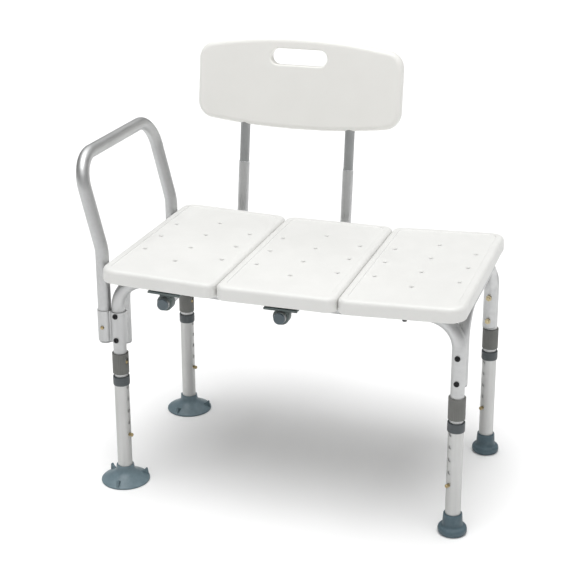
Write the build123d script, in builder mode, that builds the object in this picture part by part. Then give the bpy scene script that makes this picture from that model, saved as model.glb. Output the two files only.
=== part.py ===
from build123d import *
from math import cos, radians, sin, tan
import os

os.makedirs("parts", exist_ok=True)

# Bath transfer bench, in millimetres. X runs along the bench with the arm rail at -X, Y runs
# from the user's feet to the backrest, Z is up, and the origin is on the floor under the
# middle of the seat.

# ---- driving dimensions ----
SEAT_TOP = 449.0
PANEL_PITCH = 228.0
PANEL_GAP = 1.2
PANEL_DEPTH = 434.0
PANEL_THICK = 27.5
PANEL_WALL = 2.6
DISH = 2.09
HOLE_PITCH_X = 79.0
HOLE_PITCH_Y = 79.2
DRAIN_R = 3.6

FRAME_R = 12.7
FRAME_WALL = 1.6
LEG_X = 327.1
LEG_Y = 167.6
RAIL_Z = 416.5
BEND_R = 58.0
SIDE_Y = LEG_Y - 25.6
SIDE_RAIL_Z = 424.0
SIDE_END_Z = 286.0
BOLT_Z = (301.5, 350.0)

LEG_TUBE_R = 14.3
LEG_BORE_R = 13.0
LEG_TUBE_Z = (13.0, 213.0)
INNER_END_Z = 60.0
RING_Z = (205.5, 223.5)
RING_R = 16.1
COLLAR_Z = (230.0, 271.5)
COLLAR_R = 15.8
COLLAR_TRAVEL = 6.2
HEIGHT_BUTTON_Z = 100.5
HEIGHT_STEP = 25.4
HEIGHT_STEPS = 5
COLLAR_BUTTON_Z = 253.5
BUTTON_STAND = 7.5

ARM_X = -355.5
ARM_KINK_Z = 476.8
ARM_LEAN = 13.8
ARM_TOP_Z = 649.0
SOCKET_Z = (296.0, 357.0)
SADDLE_R = 15.5
ARM_END_Z = 300.5
ARM_BUTTON_Z = 324.0

BACK_X = (-PANEL_PITCH, 0.0)
BACK_MID_X = -PANEL_PITCH / 2
RECLINE = 7.86
BACK_TUBE_R = 11.2
BACK_TUBE_WALL = 1.15
BACK_TUBE_Z = 387.0
BACK_TUBE_FRONT_Y = -184.0
BACK_CORNER_Y = 248.0
BACK_BEND_R = 45.0
BACK_JOINT_Z = 543.5
POST_R = 10.0
POST_WALL = 1.5
POST_ENGAGED = 48.0
BACK_WIDTH = 439.0
BACK_THICK = 26.0
BACK_LOW = 180.5
BACK_HIGH = 369.5
GUIDE_BORE_R = 11.28
GUIDE_RING_R = 15.5

# ---- derived values ----
FRAME_BORE_R = FRAME_R - FRAME_WALL
BACK_BORE_R = BACK_TUBE_R - BACK_TUBE_WALL
POST_BORE_R = POST_R - POST_WALL
PANEL_BOTTOM = SEAT_TOP - PANEL_THICK
LEGS = {
    "front_left": (-1, -1),
    "rear_left": (-1, 1),
    "front_right": (1, -1),
    "rear_right": (1, 1),
}
# Which way each leg's height holes and collar window face, in degrees about the leg from +X.
HOLE_TURN = {"front_left": -12.0, "rear_left": -12.0, "front_right": -122.0, "rear_right": -122.0}
WINDOW_TURN = {"front_left": -12.0, "rear_left": -12.0, "front_right": 168.0, "rear_right": 168.0}
UP = Vector(0, 0, 1)
BACK_UP = Vector(0, sin(radians(RECLINE)), cos(radians(RECLINE)))
BACK_FRONT = Vector(0, -cos(radians(RECLINE)), sin(radians(RECLINE)))


def rail_z(x):
    """Height of the front and rear rails' centreline, which rises towards both ends."""
    return RAIL_Z + max(0.0, abs(x) - PANEL_PITCH / 2) * tan(radians(DISH))


def facing(turn):
    """Level direction at an angle from +X."""
    return Vector(cos(radians(turn)), sin(radians(turn)), 0)


def save(block, name):
    """Label a finished sub-part and write its STEP file."""
    block.part.label = name
    export_step(block.part, f"parts/{name}.step")


def tube(path, outer_r, inner_r):
    """Round tube swept along a wire; an inner radius of 0 gives a solid rod."""
    with BuildPart() as result:
        with BuildSketch(Plane(origin=path @ 0, z_dir=path % 0)):
            Circle(outer_r)
            if inner_r:
                Circle(inner_r, mode=Mode.SUBTRACT)
        sweep(path=path)
    return result.part


def rod(start, direction, length, radius):
    """Plain cylinder from a point along a direction."""
    with BuildPart() as result:
        with BuildSketch(Plane(origin=start, z_dir=direction)):
            Circle(radius)
        extrude(amount=length)
    return result.part


def end_frame_path(y, low_z):
    """Centreline of the front or rear frame: two legs joined by a dished rail."""
    with BuildLine(Plane.XZ.offset(-y)) as path:
        FilletPolyline(
            (-LEG_X, low_z),
            (-LEG_X, rail_z(LEG_X)),
            (-PANEL_PITCH / 2, RAIL_Z),
            (PANEL_PITCH / 2, RAIL_Z),
            (LEG_X, rail_z(LEG_X)),
            (LEG_X, low_z),
            radius=[BEND_R, 200.0, 200.0, BEND_R],
        )
    return path.line


def side_frame_path(x):
    """Centreline of a side frame: an inverted U along the depth of the seat."""
    with BuildLine(Plane.YZ.offset(x)) as path:
        FilletPolyline(
            (-SIDE_Y, SIDE_END_Z),
            (-SIDE_Y, SIDE_RAIL_Z),
            (SIDE_Y, SIDE_RAIL_Z),
            (SIDE_Y, SIDE_END_Z),
            radius=BEND_R,
        )
    return path.line


def back_tube_path(x):
    """Centreline of an L-shaped backrest tube: along under the seat, then up behind it."""
    rise = BACK_JOINT_Z - BACK_TUBE_Z
    with BuildLine(Plane.YZ.offset(x)) as path:
        FilletPolyline(
            (BACK_TUBE_FRONT_Y, BACK_TUBE_Z),
            (BACK_CORNER_Y, BACK_TUBE_Z),
            (BACK_CORNER_Y + rise * tan(radians(RECLINE)), BACK_JOINT_Z),
            radius=BACK_BEND_R,
        )
    return path.line


def back_point(x, s):
    """Point on the axis line of a backrest post, s above the corner of the L-tube."""
    return Vector(x, BACK_CORNER_Y, BACK_TUBE_Z) + BACK_UP * s


# Fasteners that hold the panels, as (x, y, height of the head's top face).
GUIDE_PLATE = (64.0, 24.0, 3.8)
GUIDE_SCREW_OFFSET = 25.0
TILT_ROOM = 0.3
SCREW_SPOTS = []
for guide_x in BACK_X:
    for guide_y in (-LEG_Y, LEG_Y):
        for offset_x in (-GUIDE_SCREW_OFFSET, GUIDE_SCREW_OFFSET):
            spot_x = guide_x + offset_x
            under_plate = rail_z(spot_x) - FRAME_R - GUIDE_PLATE[2] - TILT_ROOM - 0.2
            SCREW_SPOTS.append((spot_x, guide_y, under_plate))
for rail_y in (-LEG_Y, LEG_Y):
    SCREW_SPOTS.append((PANEL_PITCH, rail_y, rail_z(PANEL_PITCH) - FRAME_R - TILT_ROOM))
for rail_x in (-LEG_X, LEG_X):
    for rail_y in (-60.0, 60.0):
        SCREW_SPOTS.append((rail_x, rail_y, SIDE_RAIL_Z - FRAME_R))
SCREW_R = 2.0
SCREW_HEAD_R = 5.0
SCREW_HEAD_H = 3.2
SCREW_LENGTH = 35.0


def screw_holes(radius):
    """Vertical clearance rods on every panel screw, for cutting rails and panels."""
    return [rod((x, y, z - 1.0), UP, SCREW_LENGTH + 2.0, radius) for x, y, z in SCREW_SPOTS]


# ---- seat panels: hollow blow-moulded boards with drain holes and grooves for the rails ----
def panel_cavity(low_x, high_x):
    """Sealed hollow inside a panel, in the panel's own frame, clear of drain-hole walls."""
    top = -PANEL_WALL - 1.0
    height = PANEL_THICK - 2 * PANEL_WALL - 1.0
    middle_y = 2 * (LEG_Y - FRAME_R - 4.0)
    with BuildPart() as cavity:
        with BuildSketch(Plane.XY.offset(top)):
            with Locations(((low_x + high_x) / 2, 0)):
                RectangleRounded(high_x - low_x, middle_y, 8.0)
            with GridLocations(2 * HOLE_PITCH_X, HOLE_PITCH_Y, 2, 3):
                Circle(DRAIN_R + 4.2, mode=Mode.SUBTRACT)
            with GridLocations(1.0, HOLE_PITCH_Y, 1, 4):
                Circle(DRAIN_R + 4.2, mode=Mode.SUBTRACT)
        extrude(amount=-height)
    return cavity.part


def seat_board(left_corner_r, right_corner_r):
    """Seat panel in its own frame: its top face is at z = 0."""
    width = PANEL_PITCH - PANEL_GAP
    with BuildPart() as board:
        with BuildSketch():
            Rectangle(width, PANEL_DEPTH)
        extrude(amount=-PANEL_THICK)
        sides = board.edges().filter_by(Axis.Z).group_by(Axis.X)
        fillet(sides[0], left_corner_r)
        fillet(board.edges().filter_by(Axis.Z).group_by(Axis.X)[-1], right_corner_r)
        fillet(board.faces().sort_by(Axis.Z)[-1].edges(), 8.0)
        fillet(board.faces().sort_by(Axis.Z)[0].edges(), 3.0)
        with BuildSketch():
            RectangleRounded(width - 30.0, PANEL_DEPTH - 30.0, 16.0)
        extrude(amount=-1.3, taper=45, mode=Mode.SUBTRACT)
        with GridLocations(2 * HOLE_PITCH_X, HOLE_PITCH_Y, 2, 3):
            CounterSinkHole(DRAIN_R, DRAIN_R + 2.6)
        with GridLocations(1.0, HOLE_PITCH_Y, 1, 4):
            CounterSinkHole(DRAIN_R, DRAIN_R + 2.6)
    return board.part


half = PANEL_PITCH / 2
outer_centre_x = half + half * cos(radians(DISH))
outer_centre_z = SEAT_TOP + half * sin(radians(DISH))
inner_wall = half - PANEL_GAP - 4.0
outer_wall = LEG_X - outer_centre_x - FRAME_R - 4.0
rail_rods = [tube(end_frame_path(y, INNER_END_Z), FRAME_R + 0.3, 0) for y in (-LEG_Y, LEG_Y)]
side_rods = [tube(side_frame_path(x), FRAME_R + 0.3, 0) for x in (-LEG_X, LEG_X)]
panel_pilots = screw_holes(SCREW_R + 0.1)

PANELS = {
    "seat_panel_left": (-outer_centre_x, outer_centre_z, DISH, 30.0, 20.0, -outer_wall, inner_wall),
    "seat_panel_middle": (0.0, SEAT_TOP, 0.0, 20.0, 20.0, -inner_wall, inner_wall),
    "seat_panel_right": (outer_centre_x, outer_centre_z, -DISH, 20.0, 30.0, -inner_wall, outer_wall),
}
for name, (x, z, tilt, left_r, right_r, cavity_low, cavity_high) in PANELS.items():
    place = Location((x, 0, z), (0, tilt, 0))
    board = place * seat_board(left_r, right_r)
    cavity = place * panel_cavity(cavity_low, cavity_high)
    with BuildPart() as seat_panel:
        add(board)
        add(cavity, mode=Mode.SUBTRACT)
        add(rail_rods + side_rods, mode=Mode.SUBTRACT)
        add(panel_pilots, mode=Mode.SUBTRACT)
    save(seat_panel, name)

# ---- frame tubes ----
rail_clearances = screw_holes(SCREW_R + 0.3)
BOLT_R = 2.9
BOLT_HEAD_R = 5.4
BOLT_HEAD_H = 3.6
NUT_FLATS = 10.0
NUT_H = 5.2
BUTTON_R = 3.5


def bolt_clearances():
    """Rods along Y through each leg and side tube, at the frame bolts."""
    reach = LEG_Y + SADDLE_R + 2.0
    rods = []
    for x_sign, y_sign in LEGS.values():
        for z in BOLT_Z:
            start = (x_sign * LEG_X, y_sign * reach, z)
            rods.append(rod(start, (0, -y_sign, 0), 60.0, BOLT_R + 0.2))
    return rods


frame_bolt_holes = bolt_clearances()

for name, y_sign in (("front_frame", -1), ("rear_frame", 1)):
    frame_tube = tube(end_frame_path(y_sign * LEG_Y, INNER_END_Z), FRAME_R, FRAME_BORE_R)
    button_rods = [
        rod((LEGS[leg][0] * LEG_X, y_sign * LEG_Y, z), facing(turns[leg]), 20.0, BUTTON_R + 0.2)
        for leg in LEGS
        if LEGS[leg][1] == y_sign
        for z, turns in ((HEIGHT_BUTTON_Z, HOLE_TURN), (COLLAR_BUTTON_Z, WINDOW_TURN))
    ]
    with BuildPart() as end_frame:
        add(frame_tube)
        add(frame_bolt_holes + rail_clearances, mode=Mode.SUBTRACT)
        add(button_rods, mode=Mode.SUBTRACT)
    save(end_frame, name)

for name, x_sign in (("side_frame_left", -1), ("side_frame_right", 1)):
    frame_tube = tube(side_frame_path(x_sign * LEG_X), FRAME_R, FRAME_BORE_R)
    with BuildPart() as side_frame:
        add(frame_tube)
        add(frame_bolt_holes + rail_clearances, mode=Mode.SUBTRACT)
    save(side_frame, name)

# ---- fasteners of the frame: domed bolts outside, hexagon nuts inside ----
with BuildPart() as frame_bolts:
    for x_sign, y_sign in LEGS.values():
        head_seat = SADDLE_R if x_sign < 0 else FRAME_R
        for z in BOLT_Z:
            seat = Plane(
                origin=(x_sign * LEG_X, y_sign * (LEG_Y + head_seat), z), z_dir=(0, y_sign, 0)
            )
            with BuildSketch(seat):
                Circle(BOLT_HEAD_R)
            extrude(amount=BOLT_HEAD_H, taper=22)
            with BuildSketch(seat):
                Circle(BOLT_R)
            extrude(amount=-(LEG_Y - SIDE_Y + head_seat + FRAME_R + NUT_H + 1.5))
save(frame_bolts, "frame_bolts")

with BuildPart() as frame_nuts:
    for x_sign, y_sign in LEGS.values():
        for z in BOLT_Z:
            face = Plane(
                origin=(x_sign * LEG_X, y_sign * (SIDE_Y - FRAME_R), z), z_dir=(0, -y_sign, 0)
            )
            with BuildSketch(face):
                RegularPolygon(NUT_FLATS / 2, 6, major_radius=False)
                Circle(BOLT_R + 0.04, mode=Mode.SUBTRACT)
            extrude(amount=NUT_H)
save(frame_nuts, "frame_nuts")

with BuildPart() as seat_screws:
    for x, y, z in SCREW_SPOTS:
        with BuildSketch(Plane.XY.offset(z)):
            with Locations((x, y)):
                Circle(SCREW_HEAD_R)
        extrude(amount=-SCREW_HEAD_H, taper=18)
        with BuildSketch(Plane.XY.offset(z)):
            with Locations((x, y)):
                Circle(SCREW_R)
        extrude(amount=SCREW_LENGTH)
save(seat_screws, "seat_screws")

# ---- arm rail sockets: short tubes with a saddle that the frame bolts clamp to the left legs ----
for name, y_sign in (("arm_socket_front", -1), ("arm_socket_rear", 1)):
    y = y_sign * LEG_Y
    height = SOCKET_Z[1] - SOCKET_Z[0]
    with BuildPart() as arm_socket:
        with BuildSketch(Plane.XY.offset(SOCKET_Z[0])):
            with Locations((ARM_X, y)):
                Circle(LEG_TUBE_R)
            with Locations((-LEG_X, y)):
                Circle(SADDLE_R)
            with Locations((-LEG_X - FRAME_R - 2.0, y)):
                Rectangle(8.0, 15.0)
            with Locations((-LEG_X, y)):
                Circle(FRAME_R + 0.02, mode=Mode.SUBTRACT)
            with Locations((-LEG_X, y - y_sign * 16.0)):
                Rectangle(19.0, 24.0, mode=Mode.SUBTRACT)
            with Locations((ARM_X, y)):
                Circle(LEG_BORE_R, mode=Mode.SUBTRACT)
        extrude(amount=height)
        add(frame_bolt_holes, mode=Mode.SUBTRACT)
        with BuildSketch(Plane(origin=(ARM_X, y, ARM_BUTTON_Z), z_dir=(0, y_sign, 0))):
            Circle(BUTTON_R + 0.3)
        extrude(amount=20.0, mode=Mode.SUBTRACT)
    save(arm_socket, name)

# ---- plastic plugs in the open lower ends of the side frames and sockets ----
with BuildPart() as tube_plugs:
    for x in (-LEG_X, LEG_X):
        for y in (-SIDE_Y, SIDE_Y):
            with BuildSketch(Plane.XY.offset(SIDE_END_Z)):
                with Locations((x, y)):
                    Circle(FRAME_R)
            extrude(amount=-2.4, taper=12)
            with BuildSketch(Plane.XY.offset(SIDE_END_Z)):
                with Locations((x, y)):
                    Circle(FRAME_BORE_R - 0.02)
            extrude(amount=12.0)
    for y in (-LEG_Y, LEG_Y):
        with BuildSketch(Plane.XY.offset(SOCKET_Z[0])):
            with Locations((ARM_X, y)):
                Circle(LEG_TUBE_R)
        extrude(amount=-4.6, taper=28)
        with BuildSketch(Plane.XY.offset(SOCKET_Z[0])):
            with Locations((ARM_X, y)):
                Circle(LEG_BORE_R - 0.02)
        extrude(amount=3.6)
save(tube_plugs, "tube_plugs")

# ---- guides: plates under the rails, each with a ring that the L-tube slides through ----
GUIDE_RING_LENGTH = 14.0
for side, x in zip(("left", "middle"), BACK_X):
    for end, y_sign in (("front", -1), ("rear", 1)):
        plate_z = rail_z(x) - FRAME_R - 0.15 - GUIDE_PLATE[2] / 2
        tilt = -DISH if x < -PANEL_PITCH / 2 else 0.0
        screw_rods = [
            rod((x + offset_x, y_sign * LEG_Y, plate_z - 12.0), UP, 24.0, SCREW_R + 0.3)
            for offset_x in (-GUIDE_SCREW_OFFSET, GUIDE_SCREW_OFFSET)
        ]
        with BuildPart() as guide:
            with BuildSketch(Plane.XZ.offset(-y_sign * LEG_Y)):
                with Locations((x, plate_z)):
                    Rectangle(GUIDE_PLATE[0], GUIDE_PLATE[2], rotation=tilt)
            extrude(amount=GUIDE_PLATE[1] / 2, both=True)
            with BuildSketch(Plane.XZ.offset(-y_sign * LEG_Y)):
                with Locations((x, BACK_TUBE_Z)):
                    Circle(GUIDE_RING_R)
                with Locations((x, (plate_z + BACK_TUBE_Z) / 2)):
                    Rectangle(20.0, plate_z - BACK_TUBE_Z)
            extrude(amount=GUIDE_RING_LENGTH / 2, both=True)
            with BuildSketch(Plane.XZ.offset(-y_sign * LEG_Y)):
                with Locations((x, BACK_TUBE_Z)):
                    Circle(GUIDE_BORE_R)
            extrude(amount=GUIDE_RING_LENGTH, both=True, mode=Mode.SUBTRACT)
            add(screw_rods, mode=Mode.SUBTRACT)
            if end == "rear":
                with BuildSketch(Plane.XY.offset(BACK_TUBE_Z)):
                    with Locations((x, LEG_Y)):
                        Circle(BUTTON_R)
                extrude(amount=-GUIDE_RING_R - 1.0, mode=Mode.SUBTRACT)
        save(guide, f"back_guide_{side}_{end}")


# ---- snap buttons and the leaf springs behind them ----
def snap_button(centre, direction, bore_r, tip, radius):
    """Domed button on a flange, standing out of a tube whose axis passes through centre."""
    flange = bore_r - 2.2
    seat = Plane(origin=centre, z_dir=direction)
    with BuildPart() as button:
        with BuildSketch(seat.offset(flange)):
            Circle(radius)
        extrude(amount=tip - flange)
        top = button.faces().sort_by(Axis(centre, direction))[-1]
        fillet(top.edges(), radius * 0.55)
        with BuildSketch(seat.offset(flange)):
            Circle(radius + 0.6)
        extrude(amount=0.9)
    return button.part


def leaf_spring(centre, direction, along, bore_r, width):
    """V-shaped spring strip inside a tube, its front leaf just behind the button."""
    front = bore_r - 2.8
    back = -(bore_r - 1.4)
    face = Plane(origin=centre, x_dir=direction, z_dir=Vector(*direction).cross(Vector(*along)))
    with BuildPart() as spring:
        with BuildSketch(face):
            with BuildLine():
                FilletPolyline(
                    (front, 6.0), (front, -7.0), (0.0, -32.0), (back, -7.0), (back, 6.0),
                    radius=[5.0, 2.5, 5.0],
                )
            trace(line_width=0.8)
        extrude(amount=width / 2, both=True)
    return spring.part


leg_spring_parts = []
for name, (x_sign, y_sign) in LEGS.items():
    for z, turns in ((HEIGHT_BUTTON_Z, HOLE_TURN), (COLLAR_BUTTON_Z, WINDOW_TURN)):
        centre = (x_sign * LEG_X, y_sign * LEG_Y, z)
        leg_spring_parts.append(leaf_spring(centre, facing(turns[name]), UP, FRAME_BORE_R, 7.0))
with BuildPart() as leg_springs:
    add(leg_spring_parts)
save(leg_springs, "leg_springs")

for name, (x_sign, y_sign) in LEGS.items():
    height_centre = (x_sign * LEG_X, y_sign * LEG_Y, HEIGHT_BUTTON_Z)
    height_tip = LEG_TUBE_R + BUTTON_STAND
    with BuildPart() as height_button:
        add(snap_button(height_centre, facing(HOLE_TURN[name]), FRAME_BORE_R, height_tip, BUTTON_R))
    save(height_button, f"height_button_{name}")
    collar_centre = (x_sign * LEG_X, y_sign * LEG_Y, COLLAR_BUTTON_Z)
    window = facing(WINDOW_TURN[name])
    with BuildPart() as collar_button:
        add(snap_button(collar_centre, window, FRAME_BORE_R, COLLAR_R - 0.4, BUTTON_R))
    save(collar_button, f"collar_button_{name}")

# ---- extension legs: tube with height holes, ring on its top, foot on its bottom ----
CUP_R = 47.5
CUP_TOP_Z = 33.5
CUP_HOLLOW = 3.2
CUP_NECK_R = 17.2
FIN_THICK = 5.0
FIN_TURN = {"front_left": -87.0, "rear_left": -106.0}
TIP_R = 27.0
TIP_TOP_Z = 40.0


def suction_foot(fin_turn):
    """Suction cup about the Z axis: wide rim, domed skirt, neck for the tube, three peel fins."""
    with BuildPart() as foot:
        with BuildSketch(Plane.XZ):
            with BuildLine():
                Polyline((0, CUP_HOLLOW + 3.0), (30.0, CUP_HOLLOW), (CUP_R - 4.0, 0), (CUP_R, 0))
                Line((CUP_R, 0), (CUP_R, 3.4))
                Spline(
                    (CUP_R, 3.4), (36.0, 9.0), (26.0, 15.5), (CUP_NECK_R + 0.6, 24.0),
                    tangents=[(-1.0, 0.12), (-0.15, 1.0)],
                )
                Line((CUP_NECK_R + 0.6, 24.0), (CUP_NECK_R, CUP_TOP_Z - 1.5))
                Line((CUP_NECK_R, CUP_TOP_Z - 1.5), (CUP_NECK_R - 1.2, CUP_TOP_Z))
                Line((CUP_NECK_R - 1.2, CUP_TOP_Z), (LEG_TUBE_R + 0.03, CUP_TOP_Z))
                Line((LEG_TUBE_R + 0.03, CUP_TOP_Z), (LEG_TUBE_R + 0.03, LEG_TUBE_Z[0]))
                Line((LEG_TUBE_R + 0.03, LEG_TUBE_Z[0]), (0, LEG_TUBE_Z[0]))
                Line((0, LEG_TUBE_Z[0]), (0, CUP_HOLLOW + 3.0))
            make_face()
        revolve(axis=Axis.Z)
        for turn in (fin_turn, fin_turn + 120.0, fin_turn + 240.0):
            with BuildSketch(Plane(origin=(0, 0, 0), x_dir=facing(turn), z_dir=facing(turn - 90.0))):
                with BuildLine():
                    Polyline((30.0, 8.0), (30.0, 13.5), (38.0, 15.0), (42.0, 18.5), (44.0, 17.5))
                    Polyline((44.0, 17.5), (45.6, 2.5), (40.0, 2.5), (30.0, 8.0))
                make_face()
            extrude(amount=FIN_THICK / 2, both=True)
    return foot.part


def rubber_tip():
    """Rubber ferrule about the Z axis: broad rounded tread below a plain neck for the tube."""
    with BuildPart() as foot:
        with BuildSketch(Plane.XZ):
            with BuildLine():
                Line((0, 0), (TIP_R - 4.0, 0))
                Spline(
                    (TIP_R - 4.0, 0), (TIP_R, 6.0), (TIP_R - 3.0, 13.5), (18.4, 21.0),
                    tangents=[(1.0, 0.3), (-0.25, 1.0)],
                )
                Polyline((18.4, 21.0), (17.2, TIP_TOP_Z - 1.4), (16.2, TIP_TOP_Z))
                Line((16.2, TIP_TOP_Z), (LEG_TUBE_R + 0.03, TIP_TOP_Z))
                Line((LEG_TUBE_R + 0.03, TIP_TOP_Z), (LEG_TUBE_R + 0.03, LEG_TUBE_Z[0]))
                Line((LEG_TUBE_R + 0.03, LEG_TUBE_Z[0]), (0, LEG_TUBE_Z[0]))
                Line((0, LEG_TUBE_Z[0]), (0, 0))
            make_face()
        revolve(axis=Axis.Z)
    return foot.part


for name, (x_sign, y_sign) in LEGS.items():
    x, y = x_sign * LEG_X, y_sign * LEG_Y
    with BuildPart() as leg_tube:
        with BuildSketch(Plane.XY.offset(LEG_TUBE_Z[0])):
            with Locations((x, y)):
                Circle(LEG_TUBE_R)
                Circle(LEG_BORE_R, mode=Mode.SUBTRACT)
        extrude(amount=LEG_TUBE_Z[1] - LEG_TUBE_Z[0])
        for step in range(HEIGHT_STEPS):
            hole_z = HEIGHT_BUTTON_Z + step * HEIGHT_STEP
            with BuildSketch(Plane(origin=(x, y, hole_z), z_dir=facing(HOLE_TURN[name]))):
                Circle(BUTTON_R + 0.25)
            extrude(amount=LEG_TUBE_R + 1.0, mode=Mode.SUBTRACT)
    save(leg_tube, f"leg_tube_{name}")

    with BuildPart() as leg_ring:
        with BuildSketch(Plane.XY.offset(RING_Z[0])):
            with Locations((x, y)):
                Circle(RING_R)
                Circle(LEG_TUBE_R + 0.03, mode=Mode.SUBTRACT)
        extrude(amount=LEG_TUBE_Z[1] - RING_Z[0])
        with BuildSketch(Plane.XY.offset(LEG_TUBE_Z[1])):
            with Locations((x, y)):
                Circle(RING_R)
                Circle(FRAME_R + 0.08, mode=Mode.SUBTRACT)
        extrude(amount=RING_Z[1] - LEG_TUBE_Z[1])
        rims = leg_ring.edges().filter_by(GeomType.CIRCLE)
        rims = rims.filter_by(lambda e: e.radius > RING_R - 0.1)
        chamfer(rims.group_by(Axis.Z)[-1] + rims.group_by(Axis.Z)[0], 0.9)
    save(leg_ring, f"leg_ring_{name}")

    foot_shape = suction_foot(FIN_TURN[name]) if name in FIN_TURN else rubber_tip()
    with BuildPart() as foot:
        add(Location((x, y, 0)) * foot_shape)
    save(foot, f"foot_{name}")

    with BuildPart() as collar:
        with BuildSketch(Plane.XY.offset(COLLAR_Z[0])):
            with Locations((x, y)):
                Circle(COLLAR_R)
                with PolarLocations(COLLAR_R + 0.35, 28):
                    Circle(0.8, mode=Mode.SUBTRACT)
                Circle(FRAME_R + 0.08, mode=Mode.SUBTRACT)
        extrude(amount=COLLAR_Z[1] - COLLAR_Z[0])
        window_z = COLLAR_BUTTON_Z + COLLAR_TRAVEL / 2
        window = facing(WINDOW_TURN[name])
        with BuildSketch(Plane(origin=(x, y, window_z), x_dir=UP, z_dir=window)):
            SlotOverall(2 * (BUTTON_R + 0.3) + COLLAR_TRAVEL, 2 * (BUTTON_R + 0.3))
        extrude(amount=COLLAR_R + 1.0, mode=Mode.SUBTRACT)
    save(collar, f"leg_collar_{name}")

# ---- arm rail: one bent tube dropped into the two sockets ----
lean_run = (ARM_TOP_Z - ARM_KINK_Z) * tan(radians(ARM_LEAN))
with BuildLine() as arm_path:
    FilletPolyline(
        (ARM_X, -LEG_Y, ARM_END_Z),
        (ARM_X, -LEG_Y, ARM_KINK_Z),
        (ARM_X - lean_run, -LEG_Y, ARM_TOP_Z),
        (ARM_X - lean_run, LEG_Y, ARM_TOP_Z),
        (ARM_X, LEG_Y, ARM_KINK_Z),
        (ARM_X, LEG_Y, ARM_END_Z),
        radius=[90.0, BEND_R, BEND_R, 90.0],
    )
arm_tube = tube(arm_path.line, FRAME_R, FRAME_BORE_R)
arm_button_rods = [
    rod((ARM_X, y_sign * LEG_Y, ARM_BUTTON_Z), (0, y_sign, 0), 20.0, BUTTON_R + 0.2)
    for y_sign in (-1, 1)
]
with BuildPart() as arm_rail:
    add(arm_tube)
    add(arm_button_rods, mode=Mode.SUBTRACT)
save(arm_rail, "arm_rail")

for name, y_sign in (("arm_button_front", -1), ("arm_button_rear", 1)):
    centre = (ARM_X, y_sign * LEG_Y, ARM_BUTTON_Z)
    with BuildPart() as arm_button:
        add(snap_button(centre, (0, y_sign, 0), FRAME_BORE_R, LEG_TUBE_R + 3.0, BUTTON_R))
    save(arm_button, name)

arm_spring_parts = [
    leaf_spring((ARM_X, y_sign * LEG_Y, ARM_BUTTON_Z), (0, y_sign, 0), -UP, FRAME_BORE_R, 7.0)
    for y_sign in (-1, 1)
]
with BuildPart() as arm_springs:
    add(arm_spring_parts)
save(arm_springs, "arm_springs")

# ---- backrest: L-tubes, posts that plug into them, and the moulded board ----
JOINT_S = (BACK_JOINT_Z - BACK_TUBE_Z) / cos(radians(RECLINE))
POST_LOW = JOINT_S - POST_ENGAGED
PLANE_S = (440.0 - BACK_TUBE_Z) / cos(radians(RECLINE))
BOARD_LOW = BACK_LOW + PLANE_S
BOARD_HIGH = BACK_HIGH + PLANE_S
POST_HIGH = BOARD_LOW + 130.0
BACK_SCREW_S = (BOARD_LOW + 38.0, BOARD_LOW + 110.0)
BACK_BUTTON_S = POST_LOW + 24.0
BACK_BUTTON_R = 2.9
BACKWARD = -BACK_FRONT

for side, x in zip(("left", "right"), BACK_X):
    l_tube = tube(back_tube_path(x), BACK_TUBE_R, BACK_BORE_R)
    post_rod = rod(back_point(x, BACK_BUTTON_S), BACKWARD, 16.0, BACK_BUTTON_R + 0.25)
    with BuildPart() as back_tube:
        add(l_tube)
        add(post_rod, mode=Mode.SUBTRACT)
        with BuildSketch(Plane.XY.offset(BACK_TUBE_Z)):
            with Locations((x, LEG_Y)):
                Circle(BACK_BUTTON_R + 0.2)
        extrude(amount=-BACK_TUBE_R - 1.0, mode=Mode.SUBTRACT)
    save(back_tube, f"back_tube_{side}")

    post_tube = rod(back_point(x, POST_LOW), BACK_UP, POST_HIGH - POST_LOW, POST_R)
    bore_length = POST_HIGH - POST_LOW + 2.0
    post_bore = rod(back_point(x, POST_LOW - 1.0), BACK_UP, bore_length, POST_BORE_R)
    post_screw_rods = [
        rod(back_point(x, s), BACKWARD, POST_R + 2.0, SCREW_R + 0.2) for s in BACK_SCREW_S
    ]
    with BuildPart() as back_post:
        add(post_tube)
        add([post_bore, post_rod] + post_screw_rods, mode=Mode.SUBTRACT)
    save(back_post, f"back_post_{side}")

    with BuildPart() as back_button:
        centre = back_point(x, BACK_BUTTON_S)
        add(snap_button(centre, BACKWARD, POST_BORE_R, BACK_TUBE_R + 2.6, BACK_BUTTON_R))
    save(back_button, f"back_button_{side}")

    with BuildPart() as guide_button:
        centre = Vector(x, LEG_Y, BACK_TUBE_Z)
        add(snap_button(centre, -UP, BACK_BORE_R, GUIDE_RING_R + 2.0, BACK_BUTTON_R))
    save(guide_button, f"guide_button_{side}")

post_spring_parts = [
    leaf_spring(back_point(x, BACK_BUTTON_S), BACKWARD, -BACK_UP, POST_BORE_R, 6.0) for x in BACK_X
]
with BuildPart() as post_springs:
    add(post_spring_parts)
save(post_springs, "post_springs")

guide_spring_parts = [
    leaf_spring((x, LEG_Y, BACK_TUBE_Z), -UP, (0, -1, 0), BACK_BORE_R, 6.0) for x in BACK_X
]
with BuildPart() as guide_springs:
    add(guide_spring_parts)
save(guide_springs, "guide_springs")

with BuildPart() as back_tube_caps:
    for x in BACK_X:
        with BuildSketch(Plane.XZ.offset(-BACK_TUBE_FRONT_Y)):
            with Locations((x, BACK_TUBE_Z)):
                Circle(BACK_TUBE_R)
        extrude(amount=3.4, taper=16)
        with BuildSketch(Plane.XZ.offset(-BACK_TUBE_FRONT_Y)):
            with Locations((x, BACK_TUBE_Z)):
                Circle(BACK_BORE_R - 0.02)
        extrude(amount=-14.0)
save(back_tube_caps, "back_tube_caps")

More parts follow.
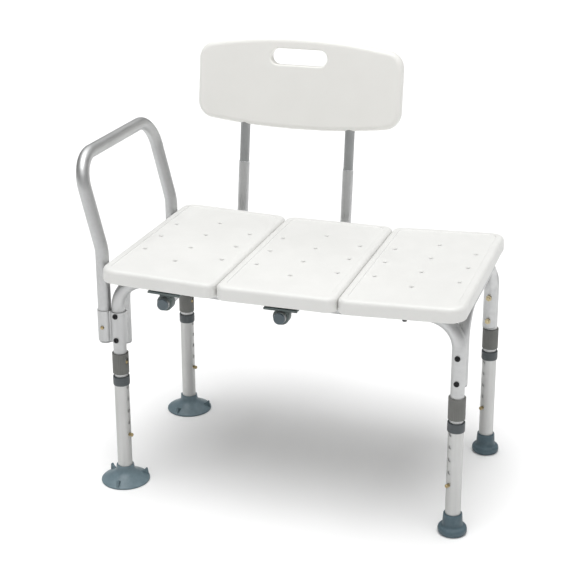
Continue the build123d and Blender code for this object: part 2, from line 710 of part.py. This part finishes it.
# The board is drawn on the plane through both post axes, x across and y up the posts.
board_plane = Plane(
    origin=(BACK_MID_X, BACK_CORNER_Y, BACK_TUBE_Z), x_dir=(1, 0, 0), z_dir=BACK_FRONT
)
HALF_WIDTH = BACK_WIDTH / 2
CROWN_TOP = 23.0
CROWN_LOW = 16.0
SLOT_SIZE = (122.0, 33.0)
SLOT_S = 329.5 + PLANE_S
socket_length = POST_HIGH - BOARD_LOW + 6.0
post_sockets = [
    rod(back_point(x, BOARD_LOW - 5.0), BACK_UP, socket_length, POST_R + 0.05) for x in BACK_X
]
with BuildPart() as back_cavity:
    with BuildSketch(board_plane.offset(-BACK_THICK / 2 + 3.2)):
        with Locations((0, BOARD_LOW + 70.0)):
            RectangleRounded(196.0, 100.0, 8.0)
        for x_sign in (-1, 1):
            with Locations((x_sign * 168.0, BOARD_LOW + 95.0)):
                RectangleRounded(76.0, 128.0, 20.0)
    extrude(amount=BACK_THICK - 6.4)
back_hollow = back_cavity.part

with BuildPart() as back_panel:
    with BuildSketch(board_plane.offset(-BACK_THICK / 2)) as outline:
        with BuildLine():
            ThreePointArc(
                (-HALF_WIDTH, BOARD_HIGH - CROWN_TOP), (0, BOARD_HIGH), (HALF_WIDTH, BOARD_HIGH - CROWN_TOP)
            )
            Line((HALF_WIDTH, BOARD_HIGH - CROWN_TOP), (HALF_WIDTH, BOARD_LOW + CROWN_LOW))
            ThreePointArc(
                (HALF_WIDTH, BOARD_LOW + CROWN_LOW), (0, BOARD_LOW), (-HALF_WIDTH, BOARD_LOW + CROWN_LOW)
            )
            Line((-HALF_WIDTH, BOARD_LOW + CROWN_LOW), (-HALF_WIDTH, BOARD_HIGH - CROWN_TOP))
        make_face()
        fillet(outline.vertices(), 36.0)
    extrude(amount=BACK_THICK)
    front_to_back = Axis(board_plane.origin, BACK_FRONT)
    fillet(back_panel.faces().sort_by(front_to_back)[-1].edges(), 11.0)
    fillet(back_panel.faces().sort_by(front_to_back)[0].edges(), 6.0)
    with BuildSketch(board_plane.offset(-BACK_THICK / 2)):
        with Locations((0, SLOT_S)):
            SlotOverall(*SLOT_SIZE)
    extrude(amount=BACK_THICK, mode=Mode.SUBTRACT)
    for face in (back_panel.faces().sort_by(front_to_back)[-1], back_panel.faces().sort_by(front_to_back)[0]):
        fillet(face.inner_wires().edges(), 4.0)
    add(back_hollow, mode=Mode.SUBTRACT)
    add(post_sockets, mode=Mode.SUBTRACT)
    for x_local in (BACK_X[0] - BACK_MID_X, BACK_X[1] - BACK_MID_X):
        for s in BACK_SCREW_S:
            with BuildSketch(board_plane.offset(-BACK_THICK / 2)):
                with Locations((x_local, s)):
                    Circle(SCREW_R + 0.1)
            extrude(amount=BACK_THICK / 2, mode=Mode.SUBTRACT)
save(back_panel, "back_panel")

with BuildPart() as back_screws:
    for x_local in (BACK_X[0] - BACK_MID_X, BACK_X[1] - BACK_MID_X):
        for s in BACK_SCREW_S:
            with BuildSketch(board_plane.offset(-BACK_THICK / 2)):
                with Locations((x_local, s)):
                    Circle(SCREW_HEAD_R - 0.6)
            extrude(amount=-2.4, taper=20)
            with BuildSketch(board_plane.offset(-BACK_THICK / 2)):
                with Locations((x_local, s)):
                    Circle(SCREW_R)
            extrude(amount=BACK_THICK / 2 - POST_R + 2.5)
save(back_screws, "back_screws")
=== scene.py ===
import math

import bmesh
import bpy
from mathutils import Matrix, Vector


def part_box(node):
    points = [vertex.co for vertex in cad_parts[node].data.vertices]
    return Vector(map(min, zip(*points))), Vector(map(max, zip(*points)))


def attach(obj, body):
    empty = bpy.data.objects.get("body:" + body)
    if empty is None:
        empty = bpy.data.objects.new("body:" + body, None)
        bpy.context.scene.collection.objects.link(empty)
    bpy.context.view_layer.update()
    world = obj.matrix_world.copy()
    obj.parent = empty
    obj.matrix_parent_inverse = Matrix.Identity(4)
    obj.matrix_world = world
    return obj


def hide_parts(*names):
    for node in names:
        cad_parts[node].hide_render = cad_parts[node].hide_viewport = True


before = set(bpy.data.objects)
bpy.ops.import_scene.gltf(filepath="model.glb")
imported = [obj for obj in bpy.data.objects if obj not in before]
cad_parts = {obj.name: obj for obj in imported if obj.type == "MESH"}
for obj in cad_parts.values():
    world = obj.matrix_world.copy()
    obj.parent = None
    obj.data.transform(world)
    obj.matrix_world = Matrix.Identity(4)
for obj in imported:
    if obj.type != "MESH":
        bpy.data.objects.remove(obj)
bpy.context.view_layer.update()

LEGS = ("front_left", "rear_left", "front_right", "rear_right")
SIDES = ("left", "right")

# the studio: sky strength by height and its factor from left to right, and the floor's half side
SKY_HORIZON = 0.18
SKY_TOP = 0.34
SKY_LEFT = 0.7
SKY_RIGHT = 1.3
FLOOR_HALF = 30.0

# two soft distant lights: azimuth (0 = +X, counter-clockwise), elevation and spread in degrees, power
KEY_LIGHT = (-90.0, 77.0, 44.0, 2.3)
RIM_LIGHT = (104.0, 68.0, 60.0, 0.85)

# the camera: its place, where it looks in degrees, its lens in millimetres and its vertical shift
EYE = (0.7306, -2.36, 1.3216)
HEADING = 18.15
TILT = 18.46
ROLL = 0.19
SENSOR = 36.0
LENS = 85.5
SHIFT_Y = -0.1


# ---- materials: every colour, grain and wear is made by shader nodes on object coordinates ----
def base_material(name):
    """New material with its node tree, its principled shader and an object-coordinate node."""
    material = bpy.data.materials.new(name)
    material.use_nodes = True
    tree = material.node_tree
    shader = tree.nodes["Principled BSDF"]
    place = tree.nodes.new("ShaderNodeTexCoord")
    return material, tree, shader, place


def noise(tree, place, scale, detail=2.0, stretch=(1.0, 1.0, 1.0), roughness=0.5):
    """Noise texture on object coordinates, stretched along an axis if asked."""
    mapping = tree.nodes.new("ShaderNodeMapping")
    mapping.inputs["Scale"].default_value = stretch
    texture = tree.nodes.new("ShaderNodeTexNoise")
    texture.inputs["Scale"].default_value = scale
    texture.inputs["Detail"].default_value = detail
    texture.inputs["Roughness"].default_value = roughness
    tree.links.new(place.outputs["Object"], mapping.inputs["Vector"])
    tree.links.new(mapping.outputs["Vector"], texture.inputs["Vector"])
    return texture.outputs["Fac"]


def tint(tree, shader, value, low_colour, high_colour, low=0.35, high=0.65):
    """Base colour that runs between two close colours with a noise value."""
    ramp = tree.nodes.new("ShaderNodeValToRGB")
    ramp.color_ramp.elements[0].position = low
    ramp.color_ramp.elements[0].color = (*low_colour, 1.0)
    ramp.color_ramp.elements[1].position = high
    ramp.color_ramp.elements[1].color = (*high_colour, 1.0)
    tree.links.new(value, ramp.inputs["Fac"])
    tree.links.new(ramp.outputs["Color"], shader.inputs["Base Color"])


def gloss(tree, shader, value, low, high):
    """Roughness that runs between two values with a noise value."""
    spread = tree.nodes.new("ShaderNodeMapRange")
    spread.inputs["From Min"].default_value = 0.3
    spread.inputs["From Max"].default_value = 0.7
    spread.inputs["To Min"].default_value = low
    spread.inputs["To Max"].default_value = high
    tree.links.new(value, spread.inputs["Value"])
    tree.links.new(spread.outputs["Result"], shader.inputs["Roughness"])


def relief(tree, shader, layers):
    """Bumps laid over each other, each a (noise value, height in metres, strength)."""
    previous = None
    for value, height, strength in layers:
        bump = tree.nodes.new("ShaderNodeBump")
        bump.inputs["Distance"].default_value = height
        bump.inputs["Strength"].default_value = strength
        tree.links.new(value, bump.inputs["Height"])
        if previous:
            tree.links.new(previous, bump.inputs["Normal"])
        previous = bump.outputs["Normal"]
    tree.links.new(previous, shader.inputs["Normal"])


def moulded_plastic(name, colour, shade, rough=(0.36, 0.48), wave=22.0):
    """Moulded plastic: fine satin grain, faint flow waves and uneven gloss."""
    material, tree, shader, place = base_material(name)
    tint(tree, shader, noise(tree, place, 14.0, 3.0), shade, colour)
    gloss(tree, shader, noise(tree, place, 60.0, 3.0), *rough)
    layers = [
        (noise(tree, place, wave, 1.0), 0.0002, 0.12),
        (noise(tree, place, 900.0, 3.0), 0.00006, 0.5),
    ]
    relief(tree, shader, layers)
    shader.inputs["Specular IOR Level"].default_value = 0.45
    return material


def anodised_tube(name, colour, shade, along):
    """Satin anodised aluminium tube with fine drawing lines along one axis."""
    material, tree, shader, place = base_material(name)
    stretch = tuple(0.03 if axis == along else 1.0 for axis in "xyz")
    lines = noise(tree, place, 1300.0, 2.0, stretch)
    tint(tree, shader, noise(tree, place, 11.0, 4.0), shade, colour)
    gloss(tree, shader, noise(tree, place, 160.0, 3.0, stretch), 0.44, 0.56)
    relief(tree, shader, [(noise(tree, place, 45.0, 1.0), 0.0002, 0.15), (lines, 0.00002, 0.5)])
    shader.inputs["Metallic"].default_value = 1.0
    return material


def soft_rubber(name, colour, shade, rough):
    """Soft rubber: matt, slightly dusty, with a pebbled skin."""
    material, tree, shader, place = base_material(name)
    tint(tree, shader, noise(tree, place, 70.0, 5.0, roughness=0.65), shade, colour)
    gloss(tree, shader, noise(tree, place, 120.0, 3.0), *rough)
    layers = [
        (noise(tree, place, 90.0, 2.0), 0.0004, 0.3),
        (noise(tree, place, 1100.0, 2.0), 0.00008, 0.5),
    ]
    relief(tree, shader, layers)
    shader.inputs["Specular IOR Level"].default_value = 0.4
    return material


def plated_metal(name, colour, shade, rough=(0.24, 0.4), metallic=1.0):
    """Small plated or black-finished metal part with slight tarnish."""
    material, tree, shader, place = base_material(name)
    tint(tree, shader, noise(tree, place, 320.0, 4.0), shade, colour)
    gloss(tree, shader, noise(tree, place, 500.0, 3.0), *rough)
    relief(tree, shader, [(noise(tree, place, 900.0, 2.0), 0.00005, 0.3)])
    shader.inputs["Metallic"].default_value = metallic
    return material


SEAT = moulded_plastic("seat_plastic", (0.785, 0.785, 0.765), (0.76, 0.76, 0.74))
# the backrest plastic is paler than the seat plastic; part of that paleness is painted light, standing
# in for the extra light the raised, tilted-up backrest catches
BACK_PAINTED_PALER = moulded_plastic("back_plastic", (0.9, 0.893, 0.86), (0.885, 0.878, 0.845), wave=16.0)
COLLAR = moulded_plastic("grey_collar", (0.185, 0.187, 0.176), (0.15, 0.152, 0.143), (0.42, 0.55))
RING = moulded_plastic("dark_ring", (0.085, 0.098, 0.105), (0.066, 0.077, 0.083), (0.36, 0.48))
GUIDE = moulded_plastic("dark_guide", (0.12, 0.15, 0.148), (0.095, 0.12, 0.118), (0.4, 0.55))
CAP = moulded_plastic("cap_plastic", (0.12, 0.155, 0.175), (0.095, 0.125, 0.143), (0.36, 0.48))
PLUG = moulded_plastic("plug_plastic", (0.36, 0.37, 0.37), (0.31, 0.32, 0.32), (0.4, 0.5))
# cup and tip rubber are one foot rubber in two shades: the cup's paler tone is painted light for the
# light its upturned slope catches, and the tip's darker tone is painted shade
CUP_RUBBER_PAINTED_LIT = soft_rubber("cup_rubber", (0.165, 0.228, 0.258), (0.13, 0.185, 0.213), (0.34, 0.48))
TIP_RUBBER_PAINTED_SHADE = soft_rubber("tip_rubber", (0.09, 0.138, 0.163), (0.068, 0.108, 0.13), (0.38, 0.52))
BRASS = plated_metal("button_brass", (0.5, 0.4, 0.22), (0.36, 0.28, 0.15))
NUT = plated_metal("nut_brass", (0.6, 0.52, 0.34), (0.42, 0.35, 0.21))
CUT = plated_metal("post_aluminium_cut", (0.86, 0.87, 0.88), (0.78, 0.79, 0.8), (0.2, 0.3))
BLACK = plated_metal("bolt_black", (0.016, 0.016, 0.017), (0.01, 0.01, 0.011), (0.3, 0.45), 0.4)
SCREW = plated_metal("screw_steel", (0.06, 0.06, 0.06), (0.035, 0.035, 0.035), (0.3, 0.45), 0.8)
SPRING = plated_metal("spring_steel", (0.5, 0.5, 0.5), (0.4, 0.4, 0.4))
TUBES = {
    axis: anodised_tube("frame_aluminium_" + axis, (0.585, 0.59, 0.59), (0.53, 0.535, 0.535), axis)
    for axis in "xyz"
}
LEG_TUBE = anodised_tube("leg_aluminium", (0.585, 0.588, 0.58), (0.535, 0.538, 0.53), "z")
POST = anodised_tube("post_aluminium", (0.42, 0.43, 0.43), (0.36, 0.37, 0.37), "z")


def dress(material, *nodes):
    """Give carried-over CAD nodes their material."""
    for node in nodes:
        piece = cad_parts[node]
        piece.data.materials.clear()
        piece.data.materials.append(material)


dress(SEAT, "seat_panel_left", "seat_panel_middle", "seat_panel_right")
dress(BACK_PAINTED_PALER, "back_panel")
dress(TUBES["x"], "front_frame", "rear_frame")
dress(TUBES["y"], "side_frame_left", "side_frame_right", "arm_rail", "back_tube_left", "back_tube_right")
dress(TUBES["z"], "arm_socket_front", "arm_socket_rear")
dress(POST, "back_post_left", "back_post_right")
dress(GUIDE, "back_guide_left_front", "back_guide_left_rear")
dress(GUIDE, "back_guide_middle_front", "back_guide_middle_rear")
dress(PLUG, "tube_plugs")
dress(CAP, "back_tube_caps")
dress(NUT, "frame_nuts")
dress(SCREW, "seat_screws", "back_screws")
dress(SPRING, "leg_springs", "arm_springs", "post_springs", "guide_springs")
dress(BRASS, "arm_button_front", "arm_button_rear")
for side in SIDES:
    dress(BRASS, "back_button_" + side, "guide_button_" + side)
for leg in LEGS:
    dress(LEG_TUBE, "leg_tube_" + leg)
    dress(COLLAR, "leg_collar_" + leg)
    dress(BRASS, "height_button_" + leg, "collar_button_" + leg)


# ---- sizes of the detailed pieces, in metres; edges sharper than the crease aren't smoothed ----
CREASE = math.radians(35.0)
LEG_TUBE_R = 0.01433
FRAME_R = 0.01278
FIT = 0.0002

# feet: where the leg tube ends in them, the release tabs of a cup and its first tab in degrees
SOCKET_FLOOR_Z = 0.013
FINS = 3
FIN_TURN = {"front_left": -87.0, "rear_left": -106.0}
FIN_THICK = 0.005
FIN_ROUNDING = 0.0007

# frame bolts: heights, distance of the legs from the middle, where the heads sit on the right (1)
# and on the arm rail's saddles (-1), where the shanks end, and the reach of the bright inner end
BOLT_Z = (0.3015, 0.350)
BOLT_LEG_X = 0.3271
BOLT_SEATS = {-1: 0.1831, 1: 0.1803}
BOLT_TIP_Y = 0.1226
BRIGHT_END = 0.02

# backrest tubes: places, height of the run under the seat, its rear end, lean, height of the joint
BACK_X = (-0.228, 0.0)
BACK_TUBE_Z = 0.387
BACK_BEND_Y = 0.248
RECLINE = math.radians(7.86)
JOINT_Z = 0.5435


# ---- mesh building ----
def leg_centre(leg):
    """Point on the floor under a leg's axis."""
    low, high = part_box("leg_tube_" + leg)
    centre = (Vector(low) + Vector(high)) / 2
    return Vector((centre.x, centre.y, 0.0))


def hexagon(angle):
    """Radius factor that turns a circle into a hexagon of the same flat-to-centre distance."""
    return 1.0 / math.cos((angle + math.pi / 6) % (math.pi / 3) - math.pi / 6)


def loop(radius, height, count, shape=None):
    """Points round the Z axis at one height; shape gives a radius factor for an angle."""
    points = []
    for k in range(count):
        angle = 2 * math.pi * k / count
        r = radius * (shape(angle) if shape else 1.0)
        points.append(Vector((r * math.cos(angle), r * math.sin(angle), height)))
    return points


def join_loops(mesh, loops, closed):
    """Skin over successive loops, ends meeting if closed and else fanned shut; its vertices."""
    rows = [[mesh.verts.new(point) for point in points] for points in loops]
    count = len(rows[0])
    hubs = []
    pairs = list(zip(rows, rows[1:]))
    if closed:
        pairs.append((rows[-1], rows[0]))
    for first, second in pairs:
        for k in range(count):
            after = (k + 1) % count
            mesh.faces.new((first[k], first[after], second[after], second[k]))
    if not closed:
        for row in (rows[0], rows[-1]):
            hub = mesh.verts.new(sum((v.co for v in row), Vector()) / count)
            for k in range(count):
                mesh.faces.new((row[k], row[(k + 1) % count], hub))
            hubs.append(hub)
    return [vert for row in rows for vert in row] + hubs


def turned(mesh, profile, place, count=72, closed=False, shapes=None):
    """Body of revolution from a (radius, height) profile, put in place by a matrix."""
    loops = []
    for index, (radius, height) in enumerate(profile):
        shape = shapes.get(index) if shapes else None
        loops.append(loop(radius, height, count, shape))
    bmesh.ops.transform(mesh, matrix=place, verts=join_loops(mesh, loops, closed))


def plate(mesh, outline, thickness, place, rounding):
    """Flat part with rounded edges, from an outline in the XZ plane, centred on that plane."""
    near = [mesh.verts.new((x, -thickness / 2, z)) for x, z in outline]
    far = [mesh.verts.new((x, thickness / 2, z)) for x, z in outline]
    mesh.faces.new(near)
    mesh.faces.new(far[::-1])
    for k in range(len(outline)):
        after = (k + 1) % len(outline)
        mesh.faces.new((near[k], far[k], far[after], near[after]))
    bmesh.ops.transform(mesh, matrix=place, verts=near + far)
    edges = dict.fromkeys(edge for vert in near + far for edge in vert.link_edges)
    bmesh.ops.bevel(mesh, geom=list(edges), offset=rounding, segments=3, affect="EDGES")


def piece_from(mesh, name, body, materials, nodes):
    """Named piece that rides on a body, with sharp creases, in place of CAD nodes if any."""
    bmesh.ops.recalc_face_normals(mesh, faces=mesh.faces)
    data = bpy.data.meshes.new(name)
    mesh.to_mesh(data)
    mesh.free()
    for polygon in data.polygons:
        polygon.use_smooth = True
    data.set_sharp_from_angle(angle=CREASE)
    for material in materials:
        data.materials.append(material)
    piece = bpy.data.objects.new(name, data)
    bpy.context.scene.collection.objects.link(piece)
    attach(piece, body)
    if nodes:
        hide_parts(*nodes)
    return piece


# ---- feet: suction cups with three release tabs on the left legs, bell tips on the right ----
CUP_PROFILE = [
    (0.008, 0.0078), (0.020, 0.0072), (0.030, 0.0058), (0.038, 0.0030), (0.0432, 0.0006),
    (0.0445, 0.0001), (0.0460, 0.0001), (0.0471, 0.0007), (0.0475, 0.0016), (0.0474, 0.0026),
    (0.0467, 0.0035), (0.0456, 0.0040), (0.0448, 0.0042), (0.0440, 0.0048), (0.0415, 0.0062),
    (0.0370, 0.0087), (0.0320, 0.0114), (0.0270, 0.0147), (0.0228, 0.0180), (0.0200, 0.0208),
    (0.0184, 0.0236), (0.0178, 0.0264), (0.0174, 0.0300), (0.0172, 0.0319), (0.0168, 0.0330),
    (0.0160, 0.0335), (0.0150, 0.0334), (LEG_TUBE_R + FIT, 0.0329), (LEG_TUBE_R, 0.0318),
    (LEG_TUBE_R, SOCKET_FLOOR_Z), (0.008, SOCKET_FLOOR_Z),
]
FIN_OUTLINE = [
    (0.030, 0.0095), (0.0335, 0.0128), (0.0375, 0.0142), (0.0400, 0.0166), (0.0418, 0.0184),
    (0.0432, 0.0184), (0.0440, 0.0172), (0.0449, 0.0110), (0.0455, 0.0035), (0.0400, 0.0028),
]
TIP_PROFILE = [
    (0.008, 0.0014), (0.0165, 0.0014), (0.0175, 0.0003), (0.0200, 0.0001), (0.0228, 0.0002),
    (0.0248, 0.0011), (0.0262, 0.0028), (0.0269, 0.0050), (0.0270, 0.0074), (0.0268, 0.0096),
    (0.0262, 0.0116), (0.0252, 0.0130), (0.0240, 0.0138), (0.0226, 0.0142), (0.0210, 0.0146),
    (0.0198, 0.0153), (0.0190, 0.0166), (0.0186, 0.0188), (0.0184, 0.0220), (0.0180, 0.0300),
    (0.0176, 0.0366), (0.0174, 0.0386), (0.0168, 0.0396), (0.0160, 0.0400), (0.0151, 0.0399),
    (LEG_TUBE_R + FIT, 0.0394), (LEG_TUBE_R, 0.0382), (LEG_TUBE_R, SOCKET_FLOOR_Z),
    (0.008, SOCKET_FLOOR_Z),
]
for leg in LEGS:
    mesh = bmesh.new()
    spot = Matrix.Translation(leg_centre(leg))
    if leg in FIN_TURN:
        turned(mesh, CUP_PROFILE, spot, 96)
        for step in range(FINS):
            swing = Matrix.Rotation(math.radians(FIN_TURN[leg] + 360.0 / FINS * step), 4, "Z")
            plate(mesh, FIN_OUTLINE, FIN_THICK, spot @ swing, FIN_ROUNDING)
        name, rubber = "suction_cup_" + leg, CUP_RUBBER_PAINTED_LIT
    else:
        turned(mesh, TIP_PROFILE, spot, 72)
        name, rubber = "bell_tip_" + leg, TIP_RUBBER_PAINTED_SHADE
    piece_from(mesh, name, "leg_" + leg, [rubber], ["foot_" + leg])

# ---- rings on the leg tubes: cup-shaped, with a rounded lower edge and a fine seam ----
RING_PROFILE = [
    (LEG_TUBE_R, 0.2058), (0.0149, 0.2055), (0.0155, 0.2057), (0.0159, 0.2064), (0.0161, 0.2076),
    (0.0161, 0.2136), (0.01585, 0.2139), (0.01585, 0.2143), (0.0161, 0.2146), (0.0161, 0.2218),
    (0.01595, 0.2228), (0.0155, 0.2234), (0.0149, 0.2235), (0.0134, 0.2235), (FRAME_R, 0.2231),
    (FRAME_R, 0.2132), (LEG_TUBE_R, 0.2132),
]
for leg in LEGS:
    mesh = bmesh.new()
    turned(mesh, RING_PROFILE, Matrix.Translation(leg_centre(leg)), 72, closed=True)
    piece_from(mesh, "cup_ring_" + leg, "leg_" + leg, [RING], ["leg_ring_" + leg])

# ---- frame bolts: black button heads with a hexagon socket, plain shanks, bright inner ends ----
BOLT_PROFILE = [
    (0.0026, -0.0006), (0.0029, 0.0), (0.0052, 0.0), (0.0054, 0.0005), (0.0053, 0.0012),
    (0.0049, 0.0020), (0.0042, 0.0027), (0.0032, 0.0033), (0.0022, 0.0036), (0.00165, 0.0034),
    (0.0016, 0.0015), (0.0007, 0.0014),
]
SOCKET_STEPS = (9, 10)
mesh = bmesh.new()
for x_sign in (-1, 1):
    for y_sign in (-1, 1):
        for z in BOLT_Z:
            seat_y = BOLT_SEATS[x_sign]
            length = seat_y - BOLT_TIP_Y
            shank = [(0.0012, -length), (0.0024, -length), (0.0029, -length + 0.0006)]
            spot = Matrix.Translation((x_sign * BOLT_LEG_X, y_sign * seat_y, z))
            aim = Matrix.Rotation(-y_sign * math.pi / 2, 4, "X")
            sockets = {len(shank) + step: hexagon for step in SOCKET_STEPS}
            turned(mesh, shank + BOLT_PROFILE, spot @ aim, 48, shapes=sockets)
bolts = piece_from(mesh, "button_bolts", "frame", [BLACK, NUT], ["frame_bolts"])
for polygon in bolts.data.polygons:
    if abs(polygon.center.y) < BOLT_TIP_Y + BRIGHT_END:
        polygon.material_index = 1

# ---- bright cut rims on the upper ends of the backrest's L-tubes ----
RIM_PROFILE = [
    (0.01025, -0.0008), (0.01025, 0.0002), (0.0104, 0.0005), (0.0108, 0.0006), (0.0111, 0.0004),
    (0.01125, 0.0), (0.01125, -0.0008),
]
JOINT_Y = BACK_BEND_Y + (JOINT_Z - BACK_TUBE_Z) * math.tan(RECLINE)
mesh = bmesh.new()
for x in BACK_X:
    lean = Matrix.Rotation(-RECLINE, 4, "X")
    turned(mesh, RIM_PROFILE, Matrix.Translation((x, JOINT_Y, JOINT_Z)) @ lean, 48, closed=True)
piece_from(mesh, "back_tube_rims", "back_tubes", [CUT], [])


# ---- floor, sky, lights and camera ----
def floor_sheet():
    """Large pale sheet under the object."""
    corners = [(-1, -1), (1, -1), (1, 1), (-1, 1)]
    data = bpy.data.meshes.new("floor")
    data.from_pydata([(x * FLOOR_HALF, y * FLOOR_HALF, 0) for x, y in corners], [], [(0, 1, 2, 3)])
    floor = bpy.data.objects.new("floor", data)
    material, tree, shader, place = base_material("floor_paper")
    tint(tree, shader, noise(tree, place, 3.0, 2.0), (0.94, 0.94, 0.94), (0.955, 0.955, 0.955))
    gloss(tree, shader, noise(tree, place, 30.0), 0.8, 0.9)
    shader.inputs["Specular IOR Level"].default_value = 0.1
    data.materials.append(material)
    bpy.context.scene.collection.objects.link(floor)


def sky():
    """Soft sky, brighter overhead and towards +X, that the camera itself sees as plain white."""
    world = bpy.data.worlds.new("studio")
    world.use_nodes = True
    nodes, links = world.node_tree.nodes, world.node_tree.links
    direction = nodes.new("ShaderNodeTexCoord")
    split = nodes.new("ShaderNodeSeparateXYZ")
    height = nodes.new("ShaderNodeMapRange")
    height.inputs["To Min"].default_value = SKY_HORIZON
    height.inputs["To Max"].default_value = SKY_TOP
    sideways = nodes.new("ShaderNodeMapRange")
    sideways.inputs["From Min"].default_value = -1.0
    sideways.inputs["To Min"].default_value = SKY_LEFT
    sideways.inputs["To Max"].default_value = SKY_RIGHT
    product = nodes.new("ShaderNodeMath")
    product.operation = "MULTIPLY"
    seen = nodes.new("ShaderNodeLightPath")
    backdrop = nodes.new("ShaderNodeMath")
    backdrop.operation = "MAXIMUM"
    background = nodes["Background"]
    background.inputs["Color"].default_value = (1.0, 1.0, 1.0, 1.0)
    links.new(direction.outputs["Generated"], split.inputs["Vector"])
    links.new(split.outputs["Z"], height.inputs["Value"])
    links.new(split.outputs["X"], sideways.inputs["Value"])
    links.new(height.outputs["Result"], product.inputs[0])
    links.new(sideways.outputs["Result"], product.inputs[1])
    links.new(product.outputs["Value"], backdrop.inputs[0])
    links.new(seen.outputs["Is Camera Ray"], backdrop.inputs[1])
    links.new(backdrop.outputs["Value"], background.inputs["Strength"])
    bpy.context.scene.world = world


def soft_light(name, azimuth, elevation, spread, power):
    """Distant soft light from an azimuth and an elevation, in degrees."""
    light = bpy.data.lights.new(name, "SUN")
    light.angle = math.radians(spread)
    light.energy = power
    lamp = bpy.data.objects.new(name, light)
    lamp.rotation_euler = (0.0, math.radians(90.0 - elevation), math.radians(azimuth))
    bpy.context.scene.collection.objects.link(lamp)


def camera():
    """Camera at the viewing angle: from the front right, looking down at the seat."""
    data = bpy.data.cameras.new("view")
    data.sensor_width = SENSOR
    data.lens = LENS
    data.shift_y = SHIFT_Y
    eye = bpy.data.objects.new("view", data)
    turn = Matrix.Rotation(math.radians(HEADING), 3, "Z")
    turn = turn @ Matrix.Rotation(math.pi / 2 - math.radians(TILT), 3, "X")
    eye.rotation_euler = (turn @ Matrix.Rotation(-math.radians(ROLL), 3, "Z")).to_euler()
    eye.location = EYE
    bpy.context.scene.collection.objects.link(eye)
    bpy.context.scene.camera = eye


bpy.context.scene.view_settings.view_transform = "Standard"
floor_sheet()
sky()
soft_light("key", *KEY_LIGHT)
soft_light("rim", *RIM_LIGHT)
camera()
